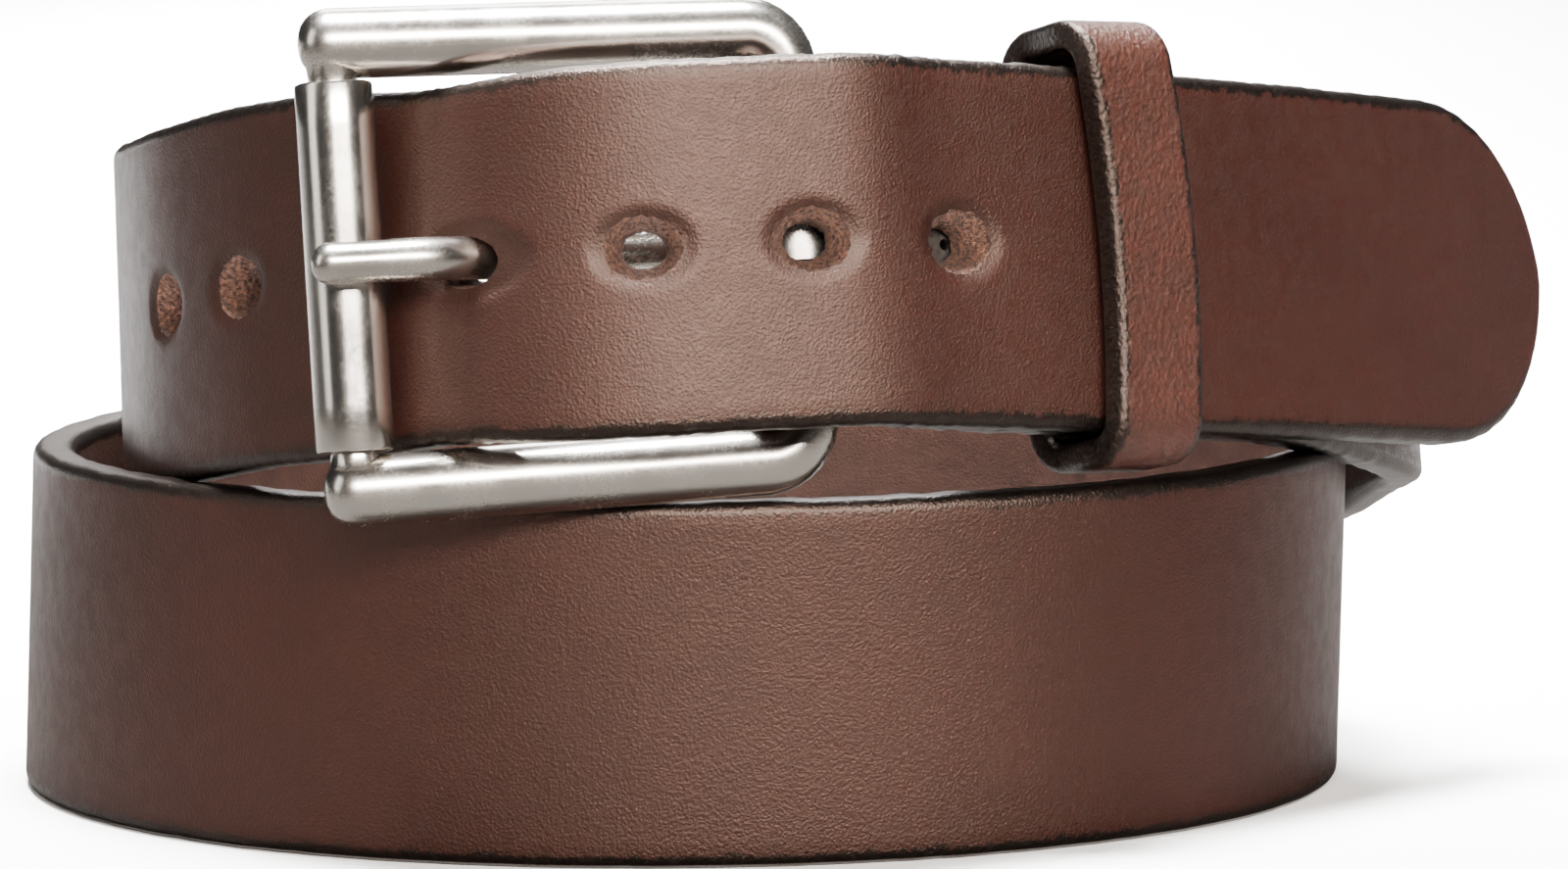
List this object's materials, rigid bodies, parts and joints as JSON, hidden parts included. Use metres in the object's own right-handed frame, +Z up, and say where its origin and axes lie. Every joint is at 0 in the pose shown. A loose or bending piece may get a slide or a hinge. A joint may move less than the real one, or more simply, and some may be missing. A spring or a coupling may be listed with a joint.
{
  "type": "leather belt",
  "caption": "Leather belt with a roller buckle, prong, keeper loop and oval adjustment holes, buckled and coiled in two turns.",
  "frame": {"origin": "centre of the base of the coil's bounding box, on the surface it rests on", "axes": "+Z up along the width of the strap, -Y towards the buckle, +X towards the free end of the tail"},
  "size_m": [0.168, 0.1638, 0.0886],
  "materials": {
    "chestnut_leather": "smooth semi-gloss reddish brown with black burnished edges",
    "keeper_leather": "fine wrinkled grain, reddish brown with black edges",
    "satin_nickel": "satin nickel plate",
    "roller_nickel": "satin nickel plate",
    "screw_nickel": "satin nickel plate"
  },
  "bodies": {
    "belt": {"strap": "chestnut_leather", "screw_post_1": "screw_nickel", "screw_post_2": "screw_nickel", "slotted_screw_1": "screw_nickel", "slotted_screw_2": "screw_nickel"},
    "buckle": {"buckle_frame": "satin_nickel"},
    "tongue": {"prong": "satin_nickel"},
    "roller": {"roller": "roller_nickel"},
    "keeper": {"keeper": "keeper_leather"}
  },
  "joints": [
    {"name": "buckle_hinge", "type": "hinge", "parent": "belt", "child": "buckle", "pos_m": [-0.00022, -0.06477, 0.0635], "axis": [-0.049, 0.1446, 0.9883], "range_deg": [0, 1.5]},
    {"name": "prong_hinge", "type": "hinge", "parent": "buckle", "child": "tongue", "pos_m": [-0.00022, -0.06477, 0.0635], "axis": [-0.049, 0.1446, 0.9883], "range_deg": [0, 1]},
    {"name": "roller_spin", "type": "hinge", "parent": "buckle", "child": "roller", "pos_m": [-0.04605, -0.0704, 0.06205], "axis": [-0.049, 0.1446, 0.9883], "continuous": true},
    {"name": "keeper_slide", "type": "slide", "parent": "belt", "child": "keeper", "axis": [-0.7606, -0.6402, 0.1075], "range_m": [-0.002, 0.002]}
  ]
}
